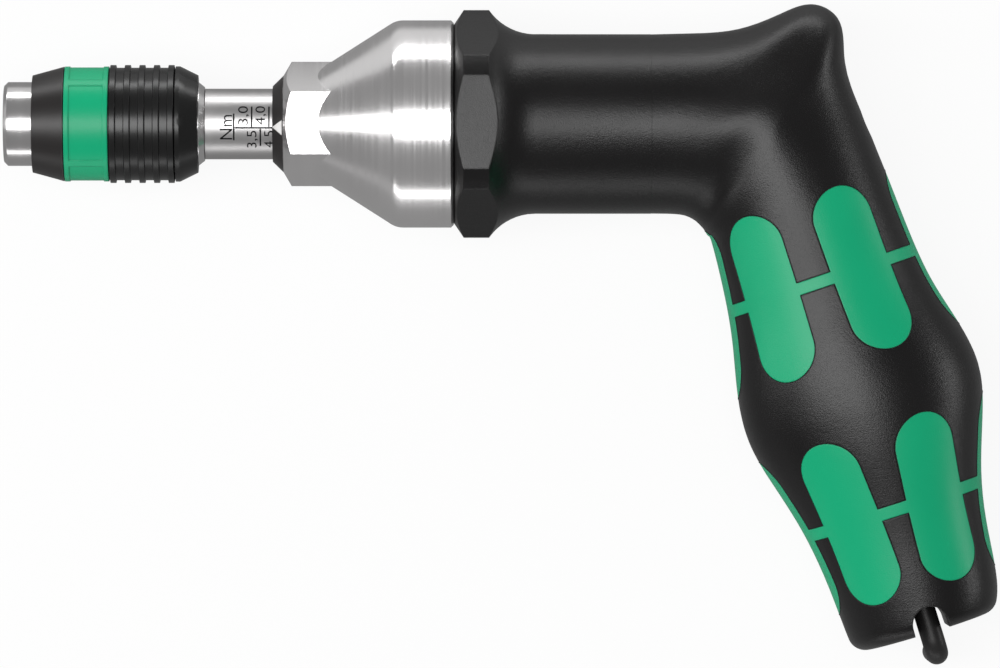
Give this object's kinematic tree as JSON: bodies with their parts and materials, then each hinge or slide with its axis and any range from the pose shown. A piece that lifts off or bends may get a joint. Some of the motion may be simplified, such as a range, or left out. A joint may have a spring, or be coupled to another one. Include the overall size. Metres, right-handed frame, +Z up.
{
  "type": "adjustable torque screwdriver",
  "caption": "Pistol-grip torque screwdriver: scale tube on a slip clutch, quick-release bit chuck, soft grip zones and a stored setting key.",
  "frame": {"origin": "centre of the bit socket's mouth", "axes": "+X along the spindle from the bit socket towards the handle, +Y away from the grip, +Z up as it lies on its side"},
  "size_m": [0.1291, 0.0859, 0.027],
  "materials": {
    "black_plastic": "fine moulded grain, satin",
    "green_soft_plastic": "smooth soft plastic, satin",
    "nickel_steel": "turned, satin nickel",
    "tube_steel": "ground bright, dark printed scale",
    "spindle_steel": "ground bright",
    "black_steel": "blackened, satin",
    "black_key_steel": "blackened, dull",
    "spring_steel": "oiled spring steel",
    "hardened_steel": "ground, hardened",
    "bronze": "turned bronze",
    "magnet": "sintered, dull",
    "black_rubber": "dull"
  },
  "bodies": {
    "handle": {"handle_body": "black_plastic", "grip_insert_upper": "green_soft_plastic", "grip_insert_lower": "green_soft_plastic", "cone_housing": "nickel_steel", "pointer_ring": "black_steel", "core_sleeve": "spring_steel", "end_plug": "bronze", "torque_spring": "spring_steel", "spring_seat": "hardened_steel", "guide_key": "hardened_steel", "key_magnet": "magnet", "key_retainer": "black_rubber"},
    "carriage": {"scale_tube": "tube_steel", "tube_bushes": "bronze", "driving_cam": "hardened_steel", "clutch_rollers": "hardened_steel", "thrust_cage": "bronze", "thrust_rollers": "hardened_steel", "rear_race": "hardened_steel", "setting_nut": "bronze"},
    "spindle": {"spindle": "spindle_steel", "stop_ring": "spindle_steel", "bit_magnet": "magnet", "lock_balls": "hardened_steel", "sleeve_spring": "spring_steel", "driven_cam": "hardened_steel", "front_race": "hardened_steel", "tube_clip": "spring_steel"},
    "lock_sleeve": {"locking_sleeve": "black_steel", "front_cap": "black_steel"},
    "outer_sleeve": {"spin_sleeve": "black_steel", "grip_ring": "green_soft_plastic"},
    "adjusting_screw": {"adjusting_screw": "hardened_steel"},
    "setting_key": {"setting_key": "black_key_steel"}
  },
  "joints": [
    {"name": "adjusting_screw_turn", "type": "hinge", "parent": "handle", "child": "adjusting_screw", "pos_m": [0.095, 0, 0], "axis": [-1, 0, 0], "range_deg": [-942, 1474]},
    {"name": "torque_setting", "type": "slide", "parent": "handle", "child": "carriage", "axis": [-1, 0, 0], "range_m": [-0.00262, 0.00409], "deforming": ["torque_spring"]},
    {"name": "clutch_slip", "type": "hinge", "parent": "carriage", "child": "spindle", "pos_m": [0.04, 0, 0], "axis": [1, 0, 0], "continuous": true},
    {"name": "sleeve_release", "type": "slide", "parent": "spindle", "child": "lock_sleeve", "axis": [-1, 0, 0], "range_m": [0, 0.0026], "stiffness_N_per_m": 800, "springref_m": -0.004, "deforming": ["sleeve_spring"]},
    {"name": "sleeve_spin", "type": "hinge", "parent": "lock_sleeve", "child": "outer_sleeve", "pos_m": [0.015, 0, 0], "axis": [1, 0, 0], "continuous": true},
    {"name": "key_pull", "type": "slide", "parent": "handle", "child": "setting_key", "axis": [0.294, -0.9558, 0], "range_m": [-0.0047, 0.046]}
  ],
  "couplings": [
    {"joint": "adjusting_screw_turn", "follows": "torque_setting", "rad_per_m": 6283.2}
  ]
}
